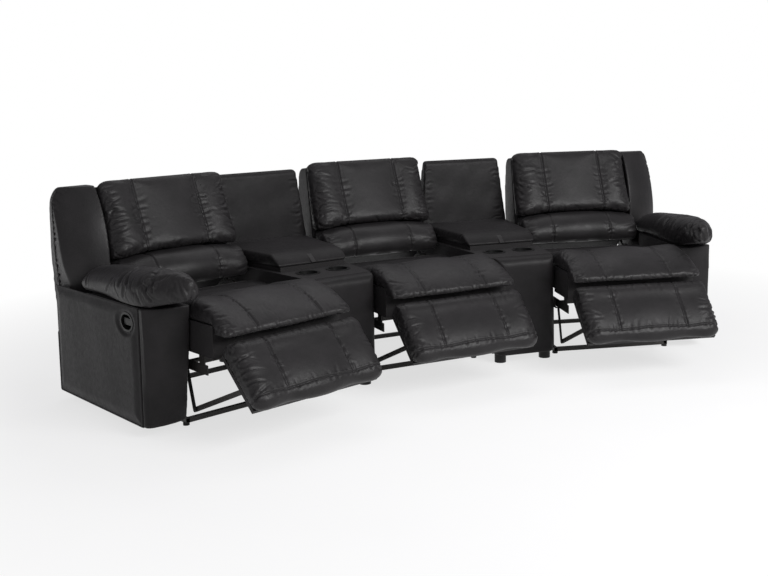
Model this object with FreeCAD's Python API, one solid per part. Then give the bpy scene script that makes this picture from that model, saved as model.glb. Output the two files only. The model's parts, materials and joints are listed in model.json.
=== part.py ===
import FreeCAD, Part
import os
from math import cos, sin, tan, radians, sqrt

# Home-theatre reclining sofa: three recliners on a curve with a wedge console in each gap.
# It is built as in the photo, with the footrests out, the backs up and the lids down.
# A recliner has its own axes: u to the right, v to the back, z up, and v = 0 on the arm front.
# A console has the same kind of axes on its own centre line.
# The left side is the mirror image of the right side. Units are millimetres and degrees.

# whole set
turn = 16.3              # how far each outer recliner is turned in
module_width = 664       # free width of one recliner, between the faces beside it
wedge_width = 352        # console width on the line v = 0
outer_step = 78          # the outer recliners stand this far forward
gap = 1                  # between plates that move past each other
soft_gap = 3             # between soft pieces and what they move past
side_gap = 4             # between a seat cushion and the face beside it

# steel
plate = 5                # links, hangers and brackets
tube = 20                # square tube of the floor frame
tube_wall = 1.5
glide_height = 12
glide_radius = 14
pin_radius = 5
pin_play = 0.08          # radial play of a running pin
open_play = 0.5          # radial play of the one pin that closes the footrest linkage

# seat
travel = 170             # how far the seat runs back when the footrest folds
seat_front = -299        # seam between seat and footrest
seat_seam = 429.5
seat_rear = 470
box_bottom = 340
box_top = 474
box_front = -205
box_inset = 30           # the seat box stands this far in under the cushion's sides
board = 18
seat_crest = 564
seat_crest_v = -40
seat_back_top = 486
seat_flat = 300          # the seat is flat behind this, where it slides under the lumbar cushion
panel_seam = 165         # the two seams that part the leather in three panels
seam_depth = 7

# footrest
pad_slope = 42           # below level, in the photo
pad_length = 312
pad_thick = 72
pad_crown = 20
link_reach = 170         # bracket pivot, along the pad from the hinge
link_drop = 108          # and below its face
drive_v = 90             # pivot of the drive links
drive_z = 262
link_width = 22

# slide
guide_z = 240
guide_height = 45
guide_front = 70
guide_rear = 645
bar_front = -90          # front end of the bars that slide in the guides
block = 10               # thickness of the nylon slide blocks
block_length = 60
slide_gap = 0.05         # running clearance of the blocks in their rails

# back
pivot_v = 600
pivot_z = 440
pivot_radius = 6
back_foot_v = 650        # front face of the back where the lumbar cushion starts
back_foot_z = 560
back_head_v = 740
back_head_z = 972
back_depth = 138         # thickness of the back at its head
back_tail_z = 357        # its lower end
pillow_rise = 31         # the pillow's crown, over the top of the back
pillow_low = 640
pillow_arch = 28         # the lower edge of the pillow rises this much at the middle
pillow_over = 6          # the pillows bulge this far over the sides of the recliner
lumbar_low = 494
lumbar_thick = 188       # from the back to the lumbar cushion's front
wing_width = 166
wing_flare = 24          # above the arm the wing's front edge spreads this much more

# arm
arm_width = 183
arm_flare = 14           # the arm's padded front spreads this far over its outer board
arm_top = 541
arm_bottom = 45
arm_rear = 800
arm_board = 12
arm_front_depth = 44
arm_pad_top = 696
arm_pad_front = -185
arm_pad_rear = 588
cup_v = 139
cup_z = 470
cup_long = 110
cup_high = 80
cup_depth = 30
lever_v = cup_v - 30     # the lever's upright pin
lever_pin = 2.5
lever_high = 28
lever_long = 62

# console
console_front = -128
console_rear = 790
console_top = 535
console_round = 42
console_board = 12
deck_front = -60
bin_front = 195
bin_rear = 672
bin_floor = 230
cup_holder_v = 96
cup_holder_u = 82
cup_holder_radius = 46
cup_holder_wall = 3
cup_holder_depth = 75
cup_rim = 12
lid_front = 185
lid_rear = 690
lid_board = 22
lid_thick = 88
lid_clear = 5            # room between the open lid and a leaning back's pillow
console_back_top = 967
console_back_half = 222
foot_radius = 29
foot_height = 45

V = FreeCAD.Vector
half = module_width / 2
cushion_half = half - side_gap
box_half = cushion_half - box_inset
pillow_half = half + pillow_over
slope = radians(pad_slope)
lean = (back_head_v - back_foot_v) / (back_head_z - back_foot_z)
back_rear = back_head_v + back_depth
pillow_top = back_head_z + pillow_rise
lumbar_front = back_foot_v - lumbar_thick


def box(u0, u1, v0, v1, z0, z1):
    return Part.makeBox(u1 - u0, v1 - v0, z1 - z0, V(u0, v0, z0))


def edges(place, start, steps):
    """Edges through the steps, each the end of a line or the middle and the end of an arc."""
    found = []
    here = start
    for step in steps:
        if isinstance(step[0], tuple):
            found.append(Part.Arc(place(here), place(step[0]), place(step[1])).toShape())
            here = step[1]
        else:
            found.append(Part.LineSegment(place(here), place(step)).toShape())
            here = step
    if here != start:
        found.append(Part.LineSegment(place(here), place(start)).toShape())
    return found


def side_wire(u, start, steps):
    return Part.Wire(edges(lambda p: V(u, p[0], p[1]), start, steps))


def plan_wire(z, start, steps):
    return Part.Wire(edges(lambda p: V(p[0], p[1], z), start, steps))


def side_solid(u0, u1, start, steps):
    """An outline drawn in v and z, made solid from u0 to u1."""
    return Part.Face(side_wire(u0, start, steps)).extrude(V(u1 - u0, 0, 0))


def plan_solid(z0, z1, start, steps):
    return Part.Face(plan_wire(z0, start, steps)).extrude(V(0, 0, z1 - z0))


def loft(wires, ruled=False):
    solid = Part.makeLoft(wires, True, ruled)
    return solid if solid.Volume > 0 else solid.reversed()


def rod_u(v, z, radius, u0, u1):
    return Part.makeCylinder(radius, u1 - u0, V(u0, v, z), V(1, 0, 0))


def tube_box(u0, u1, v0, v1, z0, z1, axis):
    """A square tube, open at its two ends along the axis."""
    w = tube_wall
    inside = [[u0 + w, u1 - w], [v0 + w, v1 - w], [z0 + w, z1 - w]]
    outside = [[u0, u1], [v0, v1], [z0, z1]]
    inside[axis] = outside[axis]
    hole = [side for pair in inside for side in pair]
    return box(u0, u1, v0, v1, z0, z1).cut(box(*hole))


def link(a, b, width, u0, u1):
    """A flat link with round ends, between two pivots given in v and z."""
    av, az = a
    bv, bz = b
    length = sqrt((bv - av) ** 2 + (bz - az) ** 2)
    cv = (bv - av) / length * width / 2
    cz = (bz - az) / length * width / 2
    start = (av - cz, az + cv)
    steps = [
        (bv - cz, bz + cv),
        ((bv + cv, bz + cz), (bv + cz, bz - cv)),
        (av + cz, az - cv),
        ((av - cv, az - cz), start),
    ]
    return side_solid(u0, u1, start, steps)


def both(solids):
    """The solids and their mirror images on the other side of the recliner."""
    return solids + [s.mirror(V(0, 0, 0), V(1, 0, 0)) for s in solids]


def pad_point(along, up):
    """A point of the footrest in v and z: along the pad from its hinge, and up from its face."""
    return (
        seat_front - along * cos(slope) - up * sin(slope),
        seat_seam - along * sin(slope) + up * cos(slope),
    )


# places of the steel across the recliner, counted inwards from the plates of the back
back_plate_u = box_half + gap
post_u = back_plate_u + plate + gap
upright_u = post_u - plate
guide_u = upright_u - plate
block_u = guide_u - block
hanger_u = block_u - plate
crank_u = hanger_u - plate - gap
coupler_u = crank_u - plate - gap
bracket_u = coupler_u - plate - gap

hinge = (seat_front, seat_seam)
bracket_pivot = pad_point(link_reach, -link_drop)
drive = (drive_v, drive_z)
knee = (
    drive_v + bracket_pivot[0] - seat_front,
    drive_z + bracket_pivot[1] - seat_seam,
)
recline = (pivot_v, pivot_z)


def cushion_stations(low, high):
    """Where a cushion's outline is drawn across its width.

    With each place go two depths: how far the side draws the cushion in, and its two seams.
    """
    seam = panel_seam
    return [
        (low, 24, 0),
        (low + 22, 6, 0),
        ((low - seam) / 2, 0, 0),
        (-seam, 0, seam_depth),
        (-seam / 2, 0, 0),
        (seam / 2, 0, 0),
        (seam, 0, seam_depth),
        ((high + seam) / 2, 0, 0),
        (high - 22, 6, 0),
        (high, 24, 0),
    ]


def base_frame():
    rail_low = glide_height
    rail_high = rail_low + tube
    front = guide_front - 16
    rear = guide_rear
    inner = guide_u - 5
    side = [
        tube_box(inner, inner + tube, front, rear, rail_low, rail_high, 1),
        box(guide_u, guide_u + plate, guide_front, guide_rear, guide_z, guide_z + guide_height),
        box(block_u, guide_u, guide_front, guide_rear, guide_z - 4, guide_z),
    ]
    for v in (guide_front + 15, pivot_v - 15):
        side.append(box(upright_u, post_u, v, v + 30, rail_high, guide_z + guide_height))
    cross = []
    for v in (front, rear - tube):
        cross.append(tube_box(-inner, inner, v, v + tube, rail_low, rail_high, 0))
    return both(side) + cross


def glides():
    side = []
    for v in (guide_front, guide_rear - 30):
        side.append(Part.makeCylinder(glide_radius, glide_height, V(guide_u + 5, v, 0)))
    return both(side)


def back_posts():
    """The posts that carry the back: a plate with its pivot pin on each side."""
    low = guide_z - 40
    r = 25
    start = (pivot_v - r, low)
    steps = [
        (pivot_v + r, low),
        (pivot_v + r, pivot_z),
        ((pivot_v, pivot_z + r), (pivot_v - r, pivot_z)),
    ]
    post = side_solid(post_u, post_u + plate, start, steps)
    post = post.cut(rod_u(pivot_v, pivot_z, pivot_radius, post_u, post_u + plate))
    pin = rod_u(pivot_v, pivot_z, pivot_radius, back_plate_u, post_u + plate)
    head = rod_u(pivot_v, pivot_z, pivot_radius + 4, post_u + plate, post_u + plate + 3)
    return both([post, pin.fuse(head)])


def side_ties():
    """Short blocks that tie each floor frame to the arm or console beside it."""
    front = box(post_u, half, guide_front + 15, guide_front + 45, guide_z - 40, guide_z - 10)
    rear = box(post_u + plate, half, pivot_v - 15, pivot_v + 15, guide_z - 40, guide_z - 10)
    return both([front, rear])


def seat_box():
    """The open box of boards under the seat, with the covered front corners."""
    top = box_top
    side = [
        box(box_half - 25, box_half, box_front + board, seat_rear, box_bottom, top),
        box(box_half, cushion_half - soft_gap, box_front + board, 0, box_bottom, top),
    ]
    front = box(-cushion_half + soft_gap, cushion_half - soft_gap, box_front, box_front + board,
                box_bottom, top)
    rear = box(-box_half + 25, box_half - 25, seat_rear - board, seat_rear, box_bottom, top)
    return both(side) + [front, rear]


def seat_webbing():
    """Elastic bands across the open box, let into the front and rear boards."""
    bands = []
    for n in range(5):
        middle = (n - 2) * 100
        bands.append(box(middle - 25, middle + 25, box_front + board, seat_rear - board,
                         box_top - 2, box_top))
    return bands


def seat_section(u, edge, seam):
    d = edge + seam
    lip = seat_seam + soft_gap + 2
    mid_rear = (seat_flat + seat_crest_v) / 2
    mid_front = seat_crest_v * 0.4 + seat_front * 0.6
    start = (seat_rear - edge, box_top)
    steps = [
        (seat_rear - edge, seat_back_top),
        (seat_flat, seat_back_top + 3),
        ((mid_rear, seat_back_top * 0.6 + seat_crest * 0.4 - d * 0.6), (seat_crest_v, seat_crest - d)),
        ((mid_front, seat_crest * 0.6 + box_top * 0.4 - d), (seat_front + 10 + d * 0.6, box_top - d * 0.4)),
        ((seat_front - 8 + d, (box_top + lip) / 2), (seat_front + 2 + d, lip)),
        (box_front, lip),
        (box_front, box_top),
    ]
    return side_wire(u, start, steps)


def seat_cushion():
    stations = cushion_stations(-cushion_half, cushion_half)
    return [loft([seat_section(*station) for station in stations])]


def seat_carriage():
    """Hangers with their slide bars, the cross tube and the nylon blocks."""
    bar_low = guide_z + 2
    bar_high = guide_z + guide_height - 2
    rear = seat_rear - 30
    bar = box(hanger_u, hanger_u + plate, bar_front, rear, bar_low, bar_high)
    bar = bar.cut(rod_u(drive_v, drive_z, pin_radius + pin_play, hanger_u, hanger_u + plate))
    side = [bar]
    for v in (bar_front + 20, (bar_front + rear) / 2, rear - 40):
        side.append(box(hanger_u, hanger_u + plate, v, v + 40, bar_high, box_bottom))
    for v in (guide_front + 30, rear - block_length):
        side.append(box(
            block_u, guide_u - slide_gap, v, v + block_length, guide_z + slide_gap, bar_high,
        ))
    across = tube_box(-hanger_u, hanger_u, bar_front + 24, bar_front + 56,
                      box_bottom - 50, box_bottom - 18, 0)
    return both(side) + [across]


def cranks():
    """The two drive links, joined by a round tube, with their pins."""
    arm = link(drive, knee, link_width, crank_u, crank_u + plate)
    pin = rod_u(drive[0], drive[1], pin_radius, crank_u + plate, hanger_u + plate + 2)
    knee_pin = rod_u(knee[0], knee[1], pin_radius, coupler_u - gap / 2, crank_u)
    across = rod_u(drive[0], drive[1], 10, -crank_u, crank_u)
    across = across.cut(rod_u(drive[0], drive[1], 8, -crank_u, crank_u))
    return both([arm.fuse([pin, knee_pin])]) + [across]


def couplers():
    """The two push links between the drive links and the footrest."""
    bar = link(knee, bracket_pivot, link_width, coupler_u, coupler_u + plate)
    bar = bar.cut(rod_u(knee[0], knee[1], pin_radius + pin_play, coupler_u, crank_u))
    hole = rod_u(bracket_pivot[0], bracket_pivot[1], pin_radius + open_play, coupler_u, crank_u)
    return both([bar.cut(hole)])


def footrest_board():
    """The board under the footrest pad and its two steel brackets with pins."""
    low = -(pad_thick + board)
    end = pad_length - 26
    start = pad_point(14, low)
    corners = [pad_point(end, low), pad_point(end, -pad_thick), pad_point(14, -pad_thick)]
    flat = side_solid(-cushion_half + 10, cushion_half - 10, start, corners)
    near = link_reach - 15
    foot = pad_point(near, low)
    tip = [
        pad_point(link_reach + 110, low),
        pad_point(link_reach + 15, -link_drop),
        (pad_point(link_reach, -link_drop - 15), pad_point(near, -link_drop)),
    ]
    bracket = side_solid(bracket_u, bracket_u + plate, foot, tip)
    pin = rod_u(bracket_pivot[0], bracket_pivot[1], pin_radius, bracket_u + plate,
                crank_u - gap / 2)
    return [flat] + both([bracket.fuse(pin)])


def pad_section(u, edge, seam):
    d = edge + seam
    crown = pad_crown - d
    start = pad_point(5, -pad_thick)
    steps = [
        pad_point(5, -6 - d * 0.5),
        (pad_point(pad_length * 0.45, crown), pad_point(pad_length - 46 - d, 2 - d)),
        (pad_point(pad_length - 4 - d * 1.4, -30), pad_point(pad_length - 14 - d * 1.2, -pad_thick)),
    ]
    return side_wire(u, start, steps)


def footrest_pad():
    stations = cushion_stations(-cushion_half, cushion_half)
    return [loft([pad_section(*station) for station in stations])]


def back_face(z):
    """v of the front of the back at the height z."""
    return back_foot_v + max(0, z - back_foot_z) * lean


def back_shell():
    """The padded back: full width above, narrower beside the steel below."""
    tail = back_rear - 62
    lower = side_solid(
        -back_plate_u, back_plate_u, (back_foot_v, back_foot_z),
        [
            (back_foot_v, pivot_z + 40),
            (back_foot_v + 50, pivot_z),
            (tail - 14, back_tail_z),
            (tail, back_tail_z),
            ((back_rear - 22, (back_tail_z + back_foot_z) / 2), (back_rear - 10, back_foot_z)),
        ],
    )
    upper = side_solid(
        -half, half, (back_foot_v, back_foot_z),
        [
            (back_head_v, back_head_z),
            (back_rear - 83, back_head_z - 8),
            ((back_rear - 32, back_head_z - 28), (back_rear - 18, back_head_z - 67)),
            ((back_rear, (back_head_z + back_foot_z) / 2), (back_rear - 10, back_foot_z)),
        ],
    )
    return [lower.fuse(upper).removeSplitter()]


def back_plates():
    """Steel plates that hang the back on its pivots, let in against its lower sides."""
    r = 22
    start = (pivot_v - r, pivot_z)
    steps = [
        ((pivot_v, pivot_z - r), (pivot_v + r, pivot_z)),
        (back_foot_v + 90, 500),
        (back_foot_v + 90, back_foot_z),
        (back_foot_v, back_foot_z),
        (back_foot_v, box_top + 10),
        (back_foot_v - 5, pivot_z + r),
        (pivot_v, pivot_z + r),
        ((pivot_v - 0.7071 * r, pivot_z + 0.7071 * r), start),
    ]
    flat = side_solid(back_plate_u, back_plate_u + plate, start, steps)
    flat = flat.cut(rod_u(pivot_v, pivot_z, pivot_radius + pin_play,
                          back_plate_u, back_plate_u + plate))
    return both([flat])


def pillow_bottom(u, low, high):
    middle = (low + high) / 2
    reach = (high - low) / 2
    return pillow_low + pillow_arch * (1 - ((u - middle) / reach) ** 2)


def pillow_section(u, edge, seam, bottom):
    d = 1.5 * edge + seam
    top = back_head_z
    upper = pillow_low + (pillow_top - pillow_low) * 0.58
    belly = pillow_low + (pillow_top - pillow_low) * 0.22
    start = (back_face(bottom + 8), bottom + 8)
    steps = [
        (back_face(top), top),
        ((back_face(top) - 18, pillow_top - edge), (back_face(top) - 44, pillow_top - 16 - d)),
        ((back_face(upper) - 82 + d, upper), (back_face(belly) - 118 + d, belly)),
        ((back_face(belly) - 125 + d, bottom + 24), (back_face(belly) - 97 + d, bottom)),
    ]
    return side_wire(u, start, steps)


def head_pillow(low, high):
    sections = []
    for u, edge, seam in cushion_stations(low, high):
        sections.append(pillow_section(u, edge, seam, pillow_bottom(u, low, high)))
    return [loft(sections)]


def lumbar_section(u, edge, seam, top):
    d = edge + seam
    start = (back_foot_v, lumbar_low + 30)
    steps = [
        (back_foot_v, back_foot_z),
        (back_face(top), top),
        (lumbar_front + 120, top),
        ((lumbar_front + 68, top - 6), (lumbar_front + 32 + d, top - 32)),
        ((lumbar_front + d, (lumbar_low + top) / 2 - 10), (lumbar_front + 28 + d, lumbar_low)),
    ]
    return side_wire(u, start, steps)


def lumbar_cushion():
    reach = half - soft_gap
    sections = []
    for u, edge, seam in cushion_stations(-reach, reach):
        top = pillow_bottom(u, -reach, reach) - soft_gap
        sections.append(lumbar_section(u, edge, seam, top))
    return [loft(sections)]


def back_wing():
    """The padded side wing of an outer back. Its lower end hangs inside the hollow arm."""
    outer = half + wing_width
    tall = back_head_z - back_foot_z
    rows = [
        # part of the height of the back; then, from its front face, the wing's front at the
        # pillow and its front at the outer seam; its rear from the rear of the back; its flare
        (-0.48, 85, 92, -60, 0),
        (-0.22, -4, 30, -23, 0),
        (0.0, -38, 40, -12, 0),
        (0.17, -54, 38, -6, 0.8),
        (0.36, -65, 38, -2, 1),
        (0.70, -58, 52, -8, 0.9),
        (0.89, -36, 64, -24, 0.5),
        (1.02, -5, 50, -66, -0.7),
    ]
    wires = []
    for part, front, seam, rear, flare in rows:
        z = back_foot_z + part * tall
        face = back_face(z)
        wide = outer + flare * wing_flare
        near = (half, face + front)
        bulge = (0.45 * half + 0.55 * wide, face + (front + seam) / 2 - 16)
        side = outer + min(flare, 0) * wing_flare
        steps = [(bulge, (wide, face + seam)), (side, back_rear + rear), (half, back_rear + rear)]
        wires.append(plan_wire(z, near, steps))
    # flat sides below, where it hangs inside the arm, and round ones above
    solid = loft(wires[:3], True).fuse(loft(wires[2:])).removeSplitter()
    # the arm's inner board needs room beside the lower end
    beside = box(half - 1, half + arm_board + 6, pivot_v - 100, back_rear + 20,
                 back_tail_z - 60, arm_top + 19)
    return [solid.cut(beside)]


def arm_outline(inner):
    """The side of the arm in v and z, full for the outer board and cut back for the inner one."""
    start = (arm_front_depth, arm_top)
    low = [((arm_rear - 9, 87), (arm_rear - 60, 64)), (540, arm_bottom),
           (arm_front_depth, arm_bottom)]
    if inner:
        return start, [(480, arm_top), (480, 190), (arm_rear, 190), (arm_rear, 140)] + low
    return start, [(491, arm_top), ((690, 440), (770, 358)), (arm_rear, 300), (arm_rear, 140)] + low


def arm_frames():
    """Boards of the hollow arm. The outer board has the hole for the release cup."""
    outer = half + arm_width
    skin = side_solid(outer - arm_board, outer, *arm_outline(False))
    skin = skin.cut(oval(cup_long - 6, cup_high - 6, outer - arm_board, outer))
    inner = side_solid(half, half + arm_board, *arm_outline(True))
    u0 = half + arm_board
    u1 = outer - arm_board
    return [
        skin,
        inner,
        box(u0, u1, arm_front_depth, 480, arm_top - arm_board, arm_top),
        box(u0, u1, arm_front_depth, 540, arm_bottom + 2, arm_bottom + 2 + arm_board),
        box(u0, u1, 468, 480, arm_bottom + 2 + arm_board, arm_top - arm_board),
        box(u0, u1, arm_rear - arm_board, arm_rear, 142, 188),
    ]


def arm_front():
    """The padded front of the arm, which leans forward and is narrower at its foot."""
    outer = half + arm_width
    back = arm_front_depth
    rows = [
        # height, crease from the inner face, front at the inner edge
        (arm_bottom, 134, 10),
        (200, 160, -16),
        (360, 170, -37),
        (arm_top, 174, -54),
    ]
    wires = []
    for z, crease, front in rows:
        corner = (half + crease + arm_flare, 4)
        steps = [
            ((half + crease * 0.5, front * 0.6 - 8), corner),
            ((max(corner[0], outer) - 2, 22), (outer, back)),
            (half, back),
        ]
        wires.append(plan_wire(z, (half, front), steps))
    return [loft(wires)]


def arm_pad_section(v, top, bottom, low, high):
    """A cross-section of the arm pad in u and z at the depth v."""
    middle = (low + high) / 2
    flank = bottom + (top - bottom) * 0.45
    corner = 0.1 * arm_width
    start = (low + corner, bottom)
    steps = [
        ((low - 2, flank - 12), (low + 16, top - 34)),
        ((middle, top), (high - 16, top - 34)),
        ((high + 2, flank - 12), (high - corner, bottom)),
    ]
    place = lambda p: V(p[0], v, p[1])
    return Part.Wire(edges(place, start, steps))


def arm_pad():
    """The soft pad along the top of the arm, with a nose that hangs over the front."""
    low = half - 8
    high = half + arm_width + 8
    span = arm_pad_rear - arm_pad_front
    rows = [
        # part of the length from the front, then the top below the pad's crown, the bottom
        # over the arm's top, and the parts of the arm's width that the inner and the outer
        # side are drawn in
        (0.0, 36, 55, 0.25, 0.57),
        (0.05, 12, 33, 0.11, 0.37),
        (0.16, 0, 15, 0.02, 0.13),
        (0.24, 0, 0, 0, 0.02),
        (0.60, 18, 0, 0.01, 0),
        (0.88, 42, 0, 0.045, 0.045),
        (0.97, 66, 7, 0.1, 0.1),
        (1.0, 90, 25, 0.2, 0.2),
    ]
    wires = []
    for part, fall, lift, inner, outer in rows:
        v = arm_pad_front + part * span
        wires.append(arm_pad_section(
            v, arm_pad_top - fall, arm_top + lift,
            low + inner * arm_width, high - outer * arm_width,
        ))
    # it lies flat on the arm
    under = box(low - 20, high + 20, arm_pad_front, arm_pad_rear, arm_top - 100, arm_top)
    return [loft(wires).cut(under)]


def oval(long, high, u0, u1):
    """An oval through the arm side, centred on the release cup."""
    a = long / 2
    b = high / 2
    k = 0.7071
    start = (cup_v - a, cup_z)
    steps = [
        ((cup_v - a * k, cup_z + b * k), (cup_v, cup_z + b)),
        ((cup_v + a * k, cup_z + b * k), (cup_v + a, cup_z)),
        ((cup_v + a * k, cup_z - b * k), (cup_v, cup_z - b)),
        ((cup_v - a * k, cup_z - b * k), start),
    ]
    return side_solid(u0, u1, start, steps)


def release_cup():
    """The oval dish in the arm side that holds the release lever."""
    face = half + arm_width
    rim = oval(cup_long, cup_high, face, face + 3)
    dish = oval(cup_long - 12, cup_high - 12, face - cup_depth, face)
    hollow = oval(cup_long - 18, cup_high - 18, face - cup_depth + 3, face + 3)
    reach = cup_high / 2 - 13
    pin = Part.makeCylinder(lever_pin, 2 * reach, V(face - 8, lever_v, cup_z - reach))
    return [rim.fuse(dish).cut(hollow).fuse(pin)]


def release_lever():
    """The paddle that is pulled outwards. It turns on an upright pin at the front of the cup."""
    face = half + arm_width
    low = cup_z - lever_high / 2
    sleeve = Part.makeCylinder(5, lever_high, V(face - 8, lever_v, low))
    paddle = box(face - 11, face - 5, lever_v, lever_v + lever_long, low, low + lever_high)
    bore = Part.makeCylinder(lever_pin + pin_play, lever_high, V(face - 8, lever_v, low))
    return [sleeve.fuse(paddle).cut(bore)]


def recliner(arm):
    """All pieces of one recliner by name, with the arm on its right side or with none."""
    wing_side = half - gap if arm else pillow_half
    found = {
        "seat_box": seat_box(),
        "seat_webbing": seat_webbing(),
        "seat_cushion": seat_cushion(),
        "seat_carriage": seat_carriage(),
        "drive_links": cranks(),
        "push_links": couplers(),
        "footrest_board": footrest_board(),
        "footrest_pad": footrest_pad(),
        "back_shell": back_shell(),
        "back_plates": back_plates(),
        "head_pillow": head_pillow(-pillow_half, wing_side),
        "lumbar_cushion": lumbar_cushion(),
    }
    if arm:
        found["back_wing"] = back_wing()
        found["release_lever"] = release_lever()
    return found


def console_half(v):
    return wedge_width / 2 + v * tan(radians(turn / 2)) - gap


def wedge(v0, v1, z0, z1, inset):
    """A solid between two depths that follows the two sides of the wedge."""
    a = console_half(v0) - inset
    b = console_half(v1) - inset
    return plan_solid(z0, z1, (-a, v0), [(a, v0), (b, v1), (-b, v1)])


def console_wall(v0, v1, z0, z1):
    """One side wall, which follows the wedge."""
    a = console_half(v0)
    b = console_half(v1)
    t = console_board
    return plan_solid(z0, z1, (a - t, v0), [(a, v0), (b, v1), (b - t, v1)])


def console_box():
    """Side, rear, bottom and shelf boards of one console."""
    t = console_board
    low = foot_height
    under = console_top - t
    side = console_wall(deck_front, console_rear, low, under)
    return both([side]) + [
        wedge(console_rear - t, console_rear, low, under, t),
        wedge(deck_front, console_rear - t, low, low + t, t),
        wedge(bin_front, bin_rear, bin_floor - t, bin_floor, t),
        wedge(bin_front - t, bin_front, low + t, under, t),
        wedge(bin_rear, bin_rear + t, low + t, under, t),
    ]


def console_front_panel():
    """The padded front with round upright corners and a round top edge."""
    r = console_round
    c = 0.7071 * r
    w = console_half(console_front)
    w1 = console_half(deck_front)
    v0 = console_front
    plan = plan_solid(
        foot_height, console_top, (-w + r, v0),
        [
            (w - r, v0),
            ((w - r + c, v0 + r - c), (w, v0 + r)),
            (w1, deck_front),
            (-w1, deck_front),
            (-w, v0 + r),
            ((-w + r - c, v0 + r - c), (-w + r, v0)),
        ],
    )
    z1 = console_top
    side = side_solid(
        -w1, w1, (v0, foot_height),
        [
            (v0, z1 - r),
            ((v0 + r - c, z1 - r + c), (v0 + r, z1)),
            (deck_front, z1),
            (deck_front, foot_height),
        ],
    )
    return [plan.common(side)]


def console_deck():
    """The top board with the two cup holes and the opening of the storage box."""
    low = console_top - console_board
    deck = wedge(deck_front, console_rear, low, console_top, 0)
    for u in (-cup_holder_u, cup_holder_u):
        hole = Part.makeCylinder(cup_holder_radius + cup_holder_wall + 1, console_board,
                                 V(u, cup_holder_v, low))
        deck = deck.cut(hole)
    return [deck.cut(wedge(bin_front + 10, bin_rear - 10, low, console_top, 40))]


def cup_holders():
    found = []
    for u in (-cup_holder_u, cup_holder_u):
        r = cup_holder_radius
        outer = r + cup_holder_wall
        floor = console_top - cup_holder_depth
        cup = Part.makeCylinder(outer, cup_holder_depth, V(u, cup_holder_v, floor))
        rim = Part.makeCylinder(r + cup_rim, 3, V(u, cup_holder_v, console_top))
        hollow = Part.makeCylinder(r, cup_holder_depth + 3,
                                   V(u, cup_holder_v, floor + cup_holder_wall))
        found.append(cup.fuse(rim).cut(hollow))
    return found


def console_back():
    """The upright padded panel behind the lid, narrower at its top."""
    low = console_top
    high = console_back_top
    front = lid_rear + 4
    head = front + 42
    profile = side_solid(
        -half, half, (front, low),
        [
            (head, high - 30),
            ((head + 8, high - 8), (head + 28, high)),
            (console_rear - 6, high - 4),
            ((console_rear + 14, 800), (console_rear - 6, low)),
        ],
    )
    foot = console_half(console_rear) - 24
    w = console_back_half
    rise = 16
    outline = [
        (foot, low),
        (w + 2, high - rise),
        ((w - 4, high - 4), (w - rise, high)),
        (-w + rise, high),
        ((-w + 4, high - 4), (-w - 2, high - rise)),
    ]
    face = Part.Face(Part.Wire(edges(lambda p: V(p[0], front - 20, p[1]), (-foot, low), outline)))
    return [profile.common(face.extrude(V(0, 200, 0)))]


def console_feet():
    found = []
    for v in (console_front + 70, console_rear - 60):
        w = console_half(v) - 44
        for u in (-w, w):
            found.append(Part.makeCylinder(foot_radius, foot_height, V(u, v, 0)))
    return found


def lid_base():
    """The board under the lid pad, which lies on the console top."""
    low = console_top
    return [wedge(lid_front + 8, lid_rear - 6, low, low + lid_board, 26)]


def lid_pad():
    """The soft top of the lid, with the small pull tab at its front edge."""
    low = console_top + lid_board
    top = console_top + lid_thick
    wires = []
    for v in (lid_front, lid_rear):
        w = console_half(v) - soft_gap - pillow_over - lid_clear
        steps = [
            ((-w, (low + top) / 2 - 4), (-w + 12, top - 10)),
            ((0, top + 6), (w - 12, top - 10)),
            ((w, (low + top) / 2 - 4), (w - 6, low)),
        ]
        wires.append(Part.Wire(edges(lambda p: V(p[0], v, p[1]), (-w + 6, low), steps)))
    # the top falls off to the front edge, and a little to the rear
    profile = side_solid(
        -half, half, (lid_front + 8, low),
        [
            (lid_rear, low),
            (lid_rear, top - 4),
            ((lid_front + 300, top + 6), (lid_front + 130, top - 5)),
            ((lid_front + 38, top - 27), (lid_front + 2, low + 8)),
        ],
    )
    tab = box(-16, 16, lid_front - 10, lid_front + 24, low + 8, low + 11)
    return [loft(wires).common(profile).fuse(tab)]


# where the recliner on the right and the console on the right stand
wedge_turn = radians(turn / 2)
full_turn = radians(turn)
across = V(cos(wedge_turn), -sin(wedge_turn), 0)
corner = V(half, 0, 0) + across * wedge_width
right_origin = corner + V(cos(full_turn), -sin(full_turn), 0) * half
right_origin = right_origin - V(sin(full_turn), cos(full_turn), 0) * outer_step
console_origin = V(half, 0, 0) + across * (wedge_width / 2)
axis = V(0, 0, 1)
right_place = FreeCAD.Placement(right_origin, FreeCAD.Rotation(axis, -turn))
console_place = FreeCAD.Placement(console_origin, FreeCAD.Rotation(axis, -turn / 2))


def placed(solids, place):
    return [moved(s, place) for s in solids]


def moved(solid, place):
    copy = solid.copy()
    copy.Placement = place.multiply(copy.Placement)
    return copy


def mirrored(solids):
    return [s.mirror(V(0, 0, 0), V(1, 0, 0)) for s in solids]


def sides(solids, place):
    """The solids at the right place, and their mirror images at the left."""
    right = placed(solids, place)
    return right, mirrored(right)


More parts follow.
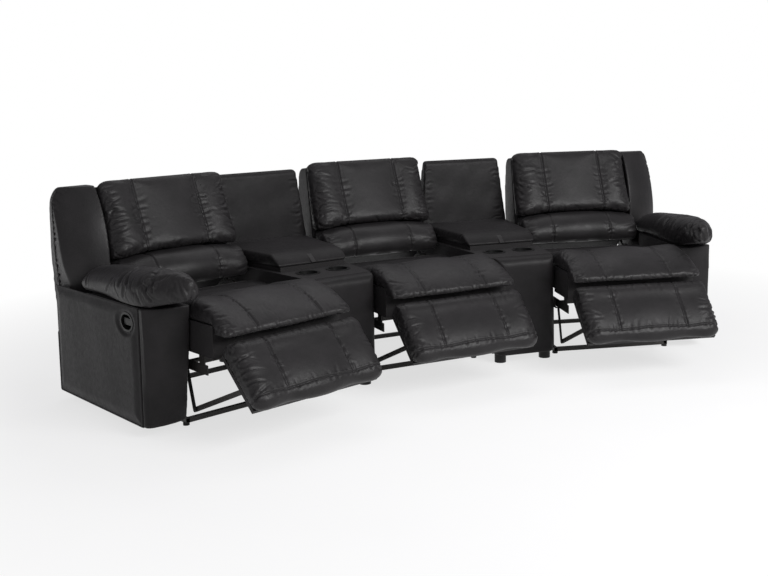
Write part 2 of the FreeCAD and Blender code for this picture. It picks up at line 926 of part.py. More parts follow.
nodes = {}
for name, solids in recliner(False).items():
    nodes[name + "_middle"] = solids
for name, solids in recliner(True).items():
    right, left = sides(solids, right_place)
    nodes[name + "_right"] = right
    nodes[name + "_left"] = left
for name, make in (("base_frames", base_frame), ("floor_glides", glides),
                   ("back_posts", back_posts), ("side_ties", side_ties)):
    right, left = sides(make(), right_place)
    nodes[name] = make() + right + left
for name, make in (("arm_frames", arm_frames), ("arm_fronts", arm_front),
                   ("arm_pads", arm_pad), ("release_cups", release_cup)):
    right, left = sides(make(), right_place)
    nodes[name] = right + left
for name, make in (("console_boxes", console_box), ("console_fronts", console_front_panel),
                   ("console_decks", console_deck), ("cup_holders", cup_holders),
                   ("console_backs", console_back), ("console_feet", console_feet)):
    right, left = sides(make(), console_place)
    nodes[name] = right + left
for name, make in (("lid_base", lid_base), ("lid_pad", lid_pad)):
    right, left = sides(make(), console_place)
    nodes[name + "_right"] = right
    nodes[name + "_left"] = left

# the origin is under the middle of the whole set
whole = Part.makeCompound([s for solids in nodes.values() for s in solids])
bounds = whole.optimalBoundingBox(False, False)
shift_y = -(bounds.YMin + bounds.YMax) / 2

if __name__ == "__main__":
    os.makedirs("parts", exist_ok=True)
    for name, solids in nodes.items():
        shape = solids[0] if len(solids) == 1 else Part.makeCompound(solids)
        shape = moved(shape, FreeCAD.Placement(V(0, shift_y, 0), FreeCAD.Rotation()))
        shape.exportStep("parts/" + name + ".step")
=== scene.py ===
import bpy
import json
import math
import numpy as np
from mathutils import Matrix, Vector
from mathutils.bvhtree import BVHTree


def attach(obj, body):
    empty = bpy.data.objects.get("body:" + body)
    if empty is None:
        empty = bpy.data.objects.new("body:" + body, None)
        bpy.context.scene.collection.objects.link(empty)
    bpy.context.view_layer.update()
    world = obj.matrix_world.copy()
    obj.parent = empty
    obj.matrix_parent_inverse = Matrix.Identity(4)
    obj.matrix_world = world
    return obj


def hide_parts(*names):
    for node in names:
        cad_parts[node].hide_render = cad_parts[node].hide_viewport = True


# A curved home-theatre sofa: three recliners in black leather and two wedge consoles.
# Each recliner and console has its own axes: u to its right, v to its back and z up, in metres.
# The left side is the mirror image of the right one, so only the right one is described.

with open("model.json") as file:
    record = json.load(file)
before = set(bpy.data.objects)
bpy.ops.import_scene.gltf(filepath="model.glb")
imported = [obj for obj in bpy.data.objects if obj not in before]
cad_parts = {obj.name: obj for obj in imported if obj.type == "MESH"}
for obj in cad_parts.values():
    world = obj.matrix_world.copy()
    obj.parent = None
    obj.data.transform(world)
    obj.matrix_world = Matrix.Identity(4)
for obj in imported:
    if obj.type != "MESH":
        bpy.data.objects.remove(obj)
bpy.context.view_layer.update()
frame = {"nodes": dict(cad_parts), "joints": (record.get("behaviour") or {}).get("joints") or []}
nodes = frame["nodes"]
scene = bpy.context.scene

PIVOT_V = 0.600            # the back's pivot, behind the arm front
LID_HINGE_V = 0.692        # the lid's hinge
SEAM_U = 0.165             # the two seams in each cushion
SEAM_WIDTH = 0.0065
SEAM_DEPTH = 0.005
END_SEAM = 0.262           # the seam across the footrest, from its hinge
PAD_SLOPE = math.radians(42)
HINGE = (-0.299, 0.4295)   # seam between seat and footrest, in v and z
MODULES = ("left", "middle", "right")


# axes of the recliners and consoles

class Place:
    """The axes of one recliner or console."""

    def __init__(self, joint, v, mirror):
        found = next(j for j in frame["joints"] if j["name"] == joint)
        x, y, _ = found["pos_m"]
        ax, ay, _ = found["axis"]
        if mirror:
            x, ax = -x, -ax
        flip = -1 if ax > 0 else 1
        self.turn = math.atan2(flip * ay, -flip * ax)
        self.mirror = mirror
        self.origin = np.array([x - v * math.sin(self.turn), y - v * math.cos(self.turn)])

    def local(self, co):
        co = np.array(co, float)
        if self.mirror:
            co[:, 0] *= -1
        x = co[:, 0] - self.origin[0]
        y = co[:, 1] - self.origin[1]
        c, s = math.cos(self.turn), math.sin(self.turn)
        return np.column_stack([x * c - y * s, x * s + y * c, co[:, 2]])

    def world(self, co):
        co = np.array(co, float)
        c, s = math.cos(self.turn), math.sin(self.turn)
        x = self.origin[0] + co[:, 0] * c + co[:, 1] * s
        y = self.origin[1] - co[:, 0] * s + co[:, 1] * c
        if self.mirror:
            x = -x
        return np.column_stack([x, y, co[:, 2]])


recliners = {side: Place("back_recline_" + side, PIVOT_V, side == "left") for side in MODULES}
consoles = {side: Place("lid_hinge_" + side, LID_HINGE_V, side == "left")
            for side in ("left", "right")}


# small mesh helpers

def arrays(mesh):
    co = np.empty(len(mesh.vertices) * 3, np.float32)
    mesh.vertices.foreach_get("co", co)
    return co.reshape(-1, 3).astype(float)


def put(mesh, co):
    mesh.vertices.foreach_set("co", np.asarray(co, np.float32).ravel())
    mesh.update()


def normals(mesh):
    no = np.empty(len(mesh.vertices) * 3, np.float32)
    mesh.vertex_normals.foreach_get("vector", no)
    return no.reshape(-1, 3).astype(float)


def fade(x, low, high):
    """0 below low and 1 above high, smooth between them."""
    t = np.clip((np.asarray(x, float) - low) / (high - low), 0, 1)
    return t * t * (3 - 2 * t)


def node_solids(node, place):
    """The separate solids of a CAD node, each as (corners in the place's axes, faces)."""
    mesh = nodes[node].data
    co = arrays(mesh)
    keys = {}
    merged = np.array([keys.setdefault(tuple(np.round(p, 5)), len(keys)) for p in co])
    points = np.zeros((len(keys), 3))
    points[merged] = co
    parent = list(range(len(keys)))

    def root(i):
        while parent[i] != i:
            parent[i] = parent[parent[i]]
            i = parent[i]
        return i

    faces = []
    for polygon in mesh.polygons:
        corners = [int(merged[i]) for i in polygon.vertices]
        if len(set(corners)) == len(corners):
            faces.append(corners)
            for i in corners[1:]:
                parent[root(i)] = root(corners[0])
    solids = {}
    for face in faces:
        solids.setdefault(root(face[0]), []).append(face)
    found = []
    for group in solids.values():
        used = sorted({i for face in group for i in face})
        index = {i: n for n, i in enumerate(used)}
        local = place.local(points[used])
        turned = [[index[i] for i in (reversed(face) if place.mirror else face)] for face in group]
        found.append((local, turned))
    return found


def nearest_half(solids):
    """Of a node that serves both sides, the solids that belong to the place given."""
    return [s for s in solids if abs(s[0][:, 0].mean()) < 0.9 and abs(s[0][:, 1].mean()) < 1.2]


def made(name, co, faces):
    mesh = bpy.data.meshes.new(name)
    mesh.from_pydata([tuple(p) for p in co], [], faces)
    mesh.update()
    piece = bpy.data.objects.new(name, mesh)
    scene.collection.objects.link(piece)
    return piece


def applied(piece):
    """Replaces the piece's mesh by what its modifiers make of it."""
    graph = bpy.context.evaluated_depsgraph_get()
    graph.update()
    mesh = bpy.data.meshes.new_from_object(piece.evaluated_get(graph))
    piece.modifiers.clear()
    piece.data = mesh
    return piece


def remeshed(piece, voxel, smooth=4):
    remesh = piece.modifiers.new("remesh", "REMESH")
    remesh.mode = "VOXEL"
    remesh.voxel_size = voxel
    if smooth:
        soften = piece.modifiers.new("smooth", "SMOOTH")
        soften.factor = 0.5
        soften.iterations = smooth
    return applied(piece)


def subdivided(piece, levels=1):
    sub = piece.modifiers.new("sub", "SUBSURF")
    sub.levels = levels
    sub.render_levels = levels
    return applied(piece)


def inflated(piece, pinned, gather, cap_out, cap_in, slack=-0.12, pressure=4.0):
    """Blows the piece up as leather over soft filling, held where pinned and loose where gather."""
    start = arrays(piece.data)
    out = normals(piece.data)
    put(piece.data, start - out * 0.004)
    held = piece.vertex_groups.new(name="held")
    loose = piece.vertex_groups.new(name="loose")
    for i, weight in enumerate(pinned):
        if weight > 0.02:
            held.add([i], float(weight), "REPLACE")
    for i, weight in enumerate(gather):
        if weight > 0.02:
            loose.add([i], float(weight), "REPLACE")
    cloth = piece.modifiers.new("cloth", "CLOTH")
    s = cloth.settings
    s.quality = 3
    s.mass = 0.25
    s.tension_stiffness = 20
    s.compression_stiffness = 20
    s.shear_stiffness = 8
    s.bending_stiffness = 0.35
    s.use_pressure = True
    s.uniform_pressure_force = pressure
    s.vertex_group_mass = "held"
    s.pin_stiffness = 1.0
    s.vertex_group_shrink = "loose"
    s.shrink_min = 0.0
    s.shrink_max = slack
    s.effector_weights.gravity = 0
    cloth.collision_settings.use_self_collision = False
    cloth.collision_settings.use_collision = False
    cloth.point_cache.frame_start = 1
    cloth.point_cache.frame_end = 20
    for step in range(1, 21):
        scene.frame_set(step)
    applied(piece)
    scene.frame_set(1)
    moved = arrays(piece.data) - start
    along = (moved * out).sum(1)
    sideways = moved - out * along[:, None]
    reach = np.linalg.norm(sideways, axis=1)
    sideways *= np.minimum(1, 0.012 / np.maximum(reach, 1e-9))[:, None]
    along = np.clip(along, -cap_in, cap_out)
    put(piece.data, start + sideways + out * along[:, None])
    return piece


def noise(co, seed, size):
    """Smooth noise from sums of waves, between about -1 and 1."""
    rng = np.random.default_rng(seed)
    total = np.zeros(len(co))
    for _ in range(7):
        direction = rng.normal(size=3)
        direction /= np.linalg.norm(direction)
        length = size * rng.uniform(0.7, 1.6)
        total += np.sin(co @ direction * (2 * math.pi / length) + rng.uniform(0, 2 * math.pi))
    return total / 3.2


class Fold:
    """A crease in the leather along a bowed line, deepest near its start."""

    def __init__(self, start, end, bow=0.0, width=0.009, depth=0.004):
        self.start = np.array(start, float)
        self.end = np.array(end, float)
        self.bow = bow
        self.width = width
        self.depth = depth

    def points(self, surface, count=9):
        side = np.cross(self.end - self.start, (0, 0, 1) if abs((self.end - self.start)[2]) < 0.7
                        * np.linalg.norm(self.end - self.start) else (0, 1, 0))
        side /= max(np.linalg.norm(side), 1e-9)
        up = np.cross(side, self.end - self.start)
        up /= max(np.linalg.norm(up), 1e-9)
        path = []
        for t in np.linspace(0, 1, count):
            p = self.start * (1 - t) + self.end * t + up * self.bow * math.sin(math.pi * t)
            path.append(np.array(surface.find_nearest(Vector(p))[0]))
        return np.array(path)


def creased(piece, folds):
    """Presses the folds into the piece, each with a low ridge on both sides."""
    mesh = piece.data
    co = arrays(mesh)
    out = normals(mesh)
    surface = BVHTree.FromObject(piece, bpy.context.evaluated_depsgraph_get())
    shift = np.zeros(len(co))
    for fold in folds:
        path = fold.points(surface)
        reach = 4 * fold.width
        low = path.min(0) - reach
        high = path.max(0) + reach
        near = np.where(((co > low) & (co < high)).all(1))[0]
        if not len(near):
            continue
        best = np.full(len(near), 1e9)
        place = np.zeros(len(near))
        count = len(path) - 1
        for n in range(count):
            a, b = path[n], path[n + 1]
            d = b - a
            t = np.clip((co[near] - a) @ d / max(d @ d, 1e-12), 0, 1)
            gap = np.linalg.norm(co[near] - a - t[:, None] * d, axis=1)
            closer = gap < best
            best[closer] = gap[closer]
            place[closer] = (n + t[closer]) / count
        strength = fold.depth * (1 - place) ** 0.6 * fade(place, -0.08, 0.08)
        x = best / fold.width
        shape = -np.exp(-x * x) + 0.5 * np.exp(-((x - 1.9) ** 2) / 0.9)
        shift[near] += strength * shape
    put(mesh, co + out * shift[:, None])
    return piece


def channelled(piece, distance, width=0.006, depth=0.004, where=None):
    """A sewn channel where the distance function is zero."""
    mesh = piece.data
    co = arrays(mesh)
    out = normals(mesh)
    x = np.abs(distance(co)) / width
    press = depth * np.clip(1 - x * x, 0, 1) ** 2 - 0.1 * depth * np.exp(-((x - 1.5) ** 2) / 0.25)
    if where is not None:
        press = press * where(co, out)
    put(mesh, co - out * press[:, None])
    return piece


def crumpled(piece, mask, seed, depth, size=0.05, stretch=(1, 1, 1)):
    """Uneven small creases where the mask says, longer along the stretched directions."""
    mesh = piece.data
    co = arrays(mesh)
    out = normals(mesh)
    p = co / np.array(stretch)
    warp = np.column_stack([noise(p, seed + k, size * 1.8) for k in range(3)])
    p = p + warp * size * 0.35
    first = np.clip(1 - np.abs(noise(p, seed + 5, size)) * 1.6, 0, 1) ** 2.2
    second = np.clip(1 - np.abs(noise(p, seed + 6, size * 0.5)) * 1.6, 0, 1) ** 2.2
    patch = fade(noise(co, seed + 7, size * 3), -0.5, 0.5)
    press = (first + 0.4 * second) * (0.35 + 0.65 * patch) * mask(co, out)
    put(mesh, co - out * (depth * press)[:, None])
    return piece


# materials

def node_material(name):
    material = bpy.data.materials.new(name)
    material.use_nodes = True
    tree = material.node_tree
    return material, tree, tree.nodes["Principled BSDF"]


def texture(tree, kind, scale, coordinates, detail=None, **values):
    made_node = tree.nodes.new(kind)
    made_node.inputs["Scale"].default_value = scale
    if detail is not None:
        made_node.inputs["Detail"].default_value = detail
    for key, value in values.items():
        made_node.inputs[key].default_value = value
    tree.links.new(coordinates, made_node.inputs["Vector"])
    return made_node


def ramp(tree, value, stops):
    made_node = tree.nodes.new("ShaderNodeValToRGB")
    elements = made_node.color_ramp.elements
    while len(elements) < len(stops):
        elements.new(0.5)
    for element, (position, colour) in zip(elements, stops):
        element.position = position
        element.color = (*colour, 1) if isinstance(colour, tuple) else (colour, colour, colour, 1)
    tree.links.new(value, made_node.inputs["Fac"])
    return made_node


def bumps(tree, shader, layers):
    """Stacks bump layers, given as (height, strength, distance), on the shader."""
    below = None
    for height, strength, distance in layers:
        bump = tree.nodes.new("ShaderNodeBump")
        bump.inputs["Strength"].default_value = strength
        bump.inputs["Distance"].default_value = distance
        tree.links.new(height, bump.inputs["Height"])
        if below:
            tree.links.new(below.outputs["Normal"], bump.inputs["Normal"])
        below = bump
    tree.links.new(below.outputs["Normal"], shader.inputs["Normal"])


def leather(name, tone=1.0, soft=1.0, gloss=0.24):
    """Black grained leather: cells of grain, fine creases, a dusty sheen and rubbed high places."""
    material, tree, shader = node_material(name)
    coordinates = tree.nodes.new("ShaderNodeTexCoord").outputs["Object"]
    grain = texture(tree, "ShaderNodeTexVoronoi", 620, coordinates)
    grain.feature = "F1"
    pores = texture(tree, "ShaderNodeTexNoise", 1500, coordinates, 2)
    crackle = texture(tree, "ShaderNodeTexVoronoi", 150, coordinates)
    crackle.feature = "DISTANCE_TO_EDGE"
    slow = texture(tree, "ShaderNodeTexNoise", 9, coordinates, 5, Roughness=0.62)
    mid = texture(tree, "ShaderNodeTexNoise", 46, coordinates, 6, Roughness=0.6, Distortion=0.8)
    low = 0.0085 * tone
    high = 0.0165 * tone
    colour = ramp(tree, slow.outputs["Fac"], [(0.3, (low, low * 0.95, low * 0.98)),
                                              (0.7, (high, high * 0.91, high * 0.97))])
    rubbed = ramp(tree, tree.nodes.new("ShaderNodeNewGeometry").outputs["Pointiness"],
                  [(0.49, 0.0), (0.56, 1.0)])
    mixed = tree.nodes.new("ShaderNodeMix")
    mixed.data_type = "RGBA"
    mixed.blend_type = "MIX"
    tree.links.new(rubbed.outputs["Color"], mixed.inputs["Factor"])
    tree.links.new(colour.outputs["Color"], mixed.inputs["A"])
    mixed.inputs["B"].default_value = (high * 1.5, high * 1.42, high * 1.45, 1)
    tree.links.new(mixed.outputs["Result"], shader.inputs["Base Color"])
    rough = ramp(tree, mid.outputs["Fac"], [(0.3, 0.38 * soft), (0.75, 0.50 * soft)])
    tree.links.new(rough.outputs["Color"], shader.inputs["Roughness"])
    shader.inputs["Specular IOR Level"].default_value = gloss
    shader.inputs["Sheen Weight"].default_value = 0.02
    shader.inputs["Sheen Roughness"].default_value = 0.45
    shader.inputs["Sheen Tint"].default_value = (0.85, 0.82, 0.86, 1)
    bumps(tree, shader, [
        (slow.outputs["Fac"], 0.25, 0.006),
        (mid.outputs["Fac"], 0.22, 0.0022),
        (crackle.outputs["Distance"], 0.25, 0.0008),
        (grain.outputs["Distance"], 0.35, 0.00035),
        (pores.outputs["Fac"], 0.2, 0.0001),
    ])
    return material


def painted_steel():
    material, tree, shader = node_material("black_steel")
    coordinates = tree.nodes.new("ShaderNodeTexCoord").outputs["Object"]
    grime = texture(tree, "ShaderNodeTexNoise", 34, coordinates, 6)
    peel = texture(tree, "ShaderNodeTexNoise", 700, coordinates, 3)
    colour = ramp(tree, grime.outputs["Fac"], [(0.35, (0.005, 0.005, 0.0055)),
                                               (0.7, (0.012, 0.0115, 0.011))])
    worn = ramp(tree, tree.nodes.new("ShaderNodeNewGeometry").outputs["Pointiness"],
                [(0.53, 0.0), (0.6, 1.0)])
    mixed = tree.nodes.new("ShaderNodeMix")
    mixed.data_type = "RGBA"
    tree.links.new(worn.outputs["Color"], mixed.inputs["Factor"])
    tree.links.new(colour.outputs["Color"], mixed.inputs["A"])
    mixed.inputs["B"].default_value = (0.04, 0.038, 0.036, 1)
    tree.links.new(mixed.outputs["Result"], shader.inputs["Base Color"])
    rough = ramp(tree, grime.outputs["Fac"], [(0.3, 0.38), (0.7, 0.56)])
    tree.links.new(rough.outputs["Color"], shader.inputs["Roughness"])
    shader.inputs["Specular IOR Level"].default_value = 0.3
    bumps(tree, shader, [(grime.outputs["Fac"], 0.1, 0.001), (peel.outputs["Fac"], 0.15, 0.00015)])
    return material


def moulded_plastic(name, shade=0.013, rough_low=0.34, rough_high=0.5, gloss=0.3):
    material, tree, shader = node_material(name)
    shader.inputs["Specular IOR Level"].default_value = gloss
    coordinates = tree.nodes.new("ShaderNodeTexCoord").outputs["Object"]
    spark = texture(tree, "ShaderNodeTexVoronoi", 1100, coordinates)
    slow = texture(tree, "ShaderNodeTexNoise", 22, coordinates, 4)
    colour = ramp(tree, slow.outputs["Fac"], [(0.3, shade * 0.8), (0.7, shade * 1.35)])
    tree.links.new(colour.outputs["Color"], shader.inputs["Base Color"])
    rough = ramp(tree, slow.outputs["Fac"], [(0.3, rough_low), (0.7, rough_high)])
    tree.links.new(rough.outputs["Color"], shader.inputs["Roughness"])
    bumps(tree, shader, [(spark.outputs["Distance"], 0.25, 0.0002)])
    return material


def woven_web():
    """Elastic webbing: fine dark ribs along it and a weave across them."""
    material, tree, shader = node_material("webbing")
    coordinates = tree.nodes.new("ShaderNodeTexCoord").outputs["Object"]
    ribs = texture(tree, "ShaderNodeTexWave", 260, coordinates)
    ribs.wave_type = "BANDS"
    ribs.bands_direction = "X"
    weft = texture(tree, "ShaderNodeTexWave", 330, coordinates)
    weft.bands_direction = "Y"
    colour = ramp(tree, ribs.outputs["Fac"], [(0.2, 0.02), (0.8, 0.06)])
    tree.links.new(colour.outputs["Color"], shader.inputs["Base Color"])
    shader.inputs["Roughness"].default_value = 0.85
    shader.inputs["Sheen Weight"].default_value = 0.3
    bumps(tree, shader, [(ribs.outputs["Fac"], 0.5, 0.0008), (weft.outputs["Fac"], 0.4, 0.0006)])
    return material


LEATHER = leather("leather")
LEATHER_PANEL = leather("leather_panel", 0.9, 1.04, 0.14)
STEEL = painted_steel()
PLASTIC = moulded_plastic("black_plastic", 0.007)
RUBBER = moulded_plastic("black_rubber", 0.018, 0.6, 0.8)
THREAD = moulded_plastic("thread", 0.006, 0.7, 0.85, 0.1)
WEBBING = woven_web()


# finishing pieces

def finished(piece, place, body, material, replaces=()):
    """Moves a piece from the place's axes to the row, and makes it ride its body."""
    mesh = piece.data
    put(mesh, place.world(arrays(mesh)))
    if place.mirror:
        mesh.flip_normals()
    mesh.polygons.foreach_set("use_smooth", [True] * len(mesh.polygons))
    mesh.materials.clear()
    mesh.materials.append(material)
    mesh.update()
    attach(piece, body)
    if replaces:
        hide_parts(*replaces)
    return piece


def copied(piece, name):
    mesh = piece.data.copy()
    mesh.name = name
    found = bpy.data.objects.new(name, mesh)
    scene.collection.objects.link(found)
    return found


def stitches(name, piece, lines, place, body, length=0.0055, gap=0.0035, radius=0.0008):
    """Rows of thread that lie on the piece. Each line is a list of points near its surface."""
    surface = BVHTree.FromObject(piece, bpy.context.evaluated_depsgraph_get())
    co, faces = [], []
    sides = 5
    for line in lines:
        line = np.array(line, float)
        steps = np.linalg.norm(np.diff(line, axis=0), axis=1)
        total = np.concatenate([[0], np.cumsum(steps)])
        at = np.arange(0.002, total[-1] - length, length + gap)
        for s in at:
            ends = []
            for t in (s, s + length):
                p = Vector([np.interp(t, total, line[:, k]) for k in range(3)])
                hit = surface.find_nearest(p)
                ends.append((np.array(hit[0]), np.array(hit[1])))
            (a, na), (b, nb) = ends
            d = b - a
            if np.linalg.norm(d) < length * 0.4 or np.linalg.norm(d) > length * 1.8:
                continue
            d /= np.linalg.norm(d)
            n = na + nb
            n -= d * (n @ d)
            n /= max(np.linalg.norm(n), 1e-9)
            w = np.cross(d, n)
            first = len(co)
            # a point, three rings and a point
            rings = [(a - n * radius * 0.6, 0), (a + d * 0.0006, radius),
                     ((a + b) / 2 + n * radius * 0.35, radius),
                     (b - d * 0.0006, radius), (b - n * radius * 0.6, 0)]
            for centre, r in rings:
                if r == 0:
                    co.append(centre)
                    continue
                for k in range(sides):
                    angle = 2 * math.pi * k / sides
                    co.append(centre + (w * math.cos(angle) + n * math.sin(angle)) * r)
            ring = [first + 1 + sides * k for k in range(3)]
            last = first + 1 + 3 * sides
            for k in range(sides):
                m = (k + 1) % sides
                faces.append([first, ring[0] + m, ring[0] + k])
                for j in range(2):
                    faces.append([ring[j] + k, ring[j] + m, ring[j + 1] + m, ring[j + 1] + k])
                faces.append([last, ring[2] + k, ring[2] + m])
    thread = made(name, co, faces)
    return finished(thread, place, body, THREAD)


def welt(name, points, radius, place, body):
    """A round cord under leather along an edge, as one smooth tube with closed ends."""
    points = np.array(points, float)
    steps = np.concatenate([[0], np.cumsum(np.linalg.norm(np.diff(points, axis=0), axis=1))])
    count = max(8, int(steps[-1] / 0.007))
    at = np.linspace(0, steps[-1], count)
    path = np.column_stack([np.interp(at, steps, points[:, k]) for k in range(3)])
    for _ in range(3):
        path[1:-1] = (path[:-2] + 2 * path[1:-1] + path[2:]) / 4
    co, faces = [], []
    sides = 8
    up = np.array([0.0, 0.0, 1.0])
    for n, p in enumerate(path):
        d = path[min(n + 1, count - 1)] - path[max(n - 1, 0)]
        d /= np.linalg.norm(d)
        if n == 0:
            up = np.cross(d, (0.3, 0.2, 0.9))
        up = up - d * (up @ d)
        up /= np.linalg.norm(up)
        w = np.cross(d, up)
        end = min(n, count - 1 - n)
        r = radius * (0.55 if end == 0 else 1.0) * (1 + 0.05 * math.sin(n * 2.3))
        for k in range(sides):
            angle = 2 * math.pi * k / sides
            co.append(p + (w * math.cos(angle) + up * math.sin(angle)) * r)
    for n in range(count - 1):
        for k in range(sides):
            m = (k + 1) % sides
            a = n * sides
            b = a + sides
            faces.append([a + k, b + k, b + m, a + m])
    faces.append(list(range(sides)))
    faces.append([(count - 1) * sides + k for k in reversed(range(sides))])
    piece = made(name, co, faces)
    return finished(piece, place, body, LEATHER)



# the forms that leather over foam takes, made once for each kind

def foam(node, place, voxel, smooth=4):
    mine = nearest_half(node_solids(node, place))
    co, faces = max(mine, key=lambda s: np.ptp(s[0], axis=0).prod())
    return remeshed(made("foam", co, faces), voxel, smooth)


def seamline(co):
    """1 on the two seams, falling off beside them."""
    return np.exp(-(to_seam(co) / 0.006) ** 2)


def seat_form():
    piece = foam("seat_cushion_middle", recliners["middle"], 0.009)
    co, out = arrays(piece.data), normals(piece.data)
    held = np.maximum(fade(-out[:, 2], 0.5, 0.85), fade(co[:, 1], 0.43, 0.46))
    held = np.maximum(held, 0.85 * seamline(co))
    loose = fade(np.abs(co[:, 0]), 0.25, 0.32) + fade(-co[:, 1], 0.16, 0.26)
    return grown(piece, held, np.clip(loose, 0, 1), 0.009, 0.02)


def footrest_form():
    piece = foam("footrest_pad_middle", recliners["middle"], 0.0085)
    co, out = arrays(piece.data), normals(piece.data)
    s, h = on_slope(co)
    tilt = out[:, 1] * -math.sin(PAD_SLOPE) + out[:, 2] * math.cos(PAD_SLOPE)
    held = np.maximum(fade(-tilt, 0.5, 0.85), fade(-s, -0.02, 0.0))
    held = np.maximum(held, 0.85 * seamline(co))
    held = np.maximum(held, 0.7 * np.exp(-((s - END_SEAM) / 0.006) ** 2) * fade(tilt, 0.2, 0.5))
    loose = fade(np.abs(co[:, 0]), 0.24, 0.31) + fade(s, 0.2, 0.3) * 0.6
    return grown(piece, held, np.clip(loose, 0, 1), 0.009, 0.02)


def pillow_form():
    piece = foam("head_pillow_middle", recliners["middle"], 0.009)
    co, out = arrays(piece.data), normals(piece.data)
    held = np.maximum(fade(out[:, 1], 0.5, 0.85), 0.85 * seamline(co))
    loose = fade(np.abs(co[:, 0]), 0.24, 0.32) + 0.7 * fade(-co[:, 2], -0.74, -0.66)
    return grown(piece, held, np.clip(loose, 0, 1), 0.008, 0.02)


def lumbar_form():
    piece = foam("lumbar_cushion_middle", recliners["middle"], 0.009)
    co, out = arrays(piece.data), normals(piece.data)
    held = np.maximum(fade(out[:, 1], 0.4, 0.8), 0.85 * seamline(co))
    loose = fade(np.abs(co[:, 0]), 0.24, 0.32)
    return grown(piece, held, np.clip(loose, 0, 1), 0.007, 0.02)


def arm_pad_form():
    piece = foam("arm_pads", recliners["right"], 0.0075)
    co, out = arrays(piece.data), normals(piece.data)
    held = np.maximum(fade(-out[:, 2], 0.45, 0.8), fade(co[:, 1], 0.56, 0.585))
    loose = 0.25 + 0.75 * fade(-co[:, 1], -0.25, -0.05)
    return grown(piece, held, np.clip(loose, 0, 1), 0.006, 0.02)


def wing_form():
    piece = foam("back_wing_right", recliners["right"], 0.006)
    return subdivided(piece)


def lid_form():
    piece = foam("lid_pad_right", consoles["right"], 0.006)
    return subdivided(piece)


def grown(piece, held, loose, cap_out, cap_in, pressure=4.0):
    inflated(piece, np.clip(held, 0, 1), loose, cap_out, cap_in, pressure=pressure)
    return subdivided(piece)


def on_slope(co):
    """How far along the footrest from its hinge, and how far out from its face."""
    v = co[:, 1] - HINGE[0]
    z = co[:, 2] - HINGE[1]
    c, s = math.cos(PAD_SLOPE), math.sin(PAD_SLOPE)
    return -v * c - z * s, -v * s + z * c


def from_slope(u, s, h):
    c, k = math.cos(PAD_SLOPE), math.sin(PAD_SLOPE)
    return (u, HINGE[0] - s * c - h * k, HINGE[1] - s * k + h * c)


def to_seam(co):
    """How far points are from the nearer of the two seams."""
    return np.abs(co[:, 0]) - SEAM_U


def rows(guide, us=(-SEAM_U, SEAM_U), offset=0.0065):
    """The lines of thread on both sides of each seam, from a guide of points in v and z."""
    lines = []
    for u in us:
        for side in (-1, 1):
            lines.append([(u + side * offset, v, z) for v, z in guide])
    return lines


def edge_folds(rng, count, start, length, tilt, **shape):
    """Folds that start near an edge, given as a function of t from 0 to 1, and run inwards."""
    folds = []
    for n in range(count):
        t = (n + rng.uniform(0.15, 0.85)) / count
        at, inward, along = (np.array(x, float) for x in start(t))
        reach = rng.uniform(*length)
        end = at + inward * reach + along * reach * rng.uniform(-tilt, tilt)
        at = at - inward * 0.012
        folds.append(Fold(at, end, rng.uniform(-0.012, 0.012),
                          rng.uniform(0.005, 0.009) * shape.get("wide", 1.0),
                          rng.uniform(0.0018, 0.0042) * shape.get("deep", 1.0)))
    return folds


def either(rng):
    """To the one side of a seam or to the other."""
    return rng.choice((-1, 1)), 0, 0


# cushions of the recliners

def sloped_nose(piece):
    """Lets the front of the seat run down to the seam with the footrest."""
    co = arrays(piece.data)
    a, b = np.array((-0.185, 0.556)), np.array((-0.322, 0.470))
    along = (b - a) / np.linalg.norm(b - a)
    up = np.array((along[1], -along[0]))
    up *= np.sign(up[1])
    height = (co[:, 1:] - a) @ up
    press = np.clip(height, 0, None) * 0.75 * fade(-co[:, 1], 0.12, 0.22)
    co[:, 1:] -= press[:, None] * up
    put(piece.data, co)


def cleared(piece, from_v, by):
    """Keeps the rear of the seat and the underside of the lumbar cushion apart as the seat slides."""
    co = arrays(piece.data)
    out = normals(piece.data)
    facing = fade(out[:, 2] * math.copysign(1, -by), 0.0, 0.5)
    co[:, 2] += by * fade(co[:, 1], from_v, from_v + 0.1) * facing
    put(piece.data, co)


def full_top(piece):
    """Fills the footrest out towards the seam with the seat."""
    co = arrays(piece.data)
    out = normals(piece.data)
    s, h = on_slope(co)
    tilt = out[:, 1] * -math.sin(PAD_SLOPE) + out[:, 2] * math.cos(PAD_SLOPE)
    lift = 0.017 * np.exp(-((s - 0.045) / 0.045) ** 2) * fade(tilt, 0.0, 0.6)
    co[:, 1] -= lift * math.sin(PAD_SLOPE)
    co[:, 2] += lift * math.cos(PAD_SLOPE)
    put(piece.data, co)


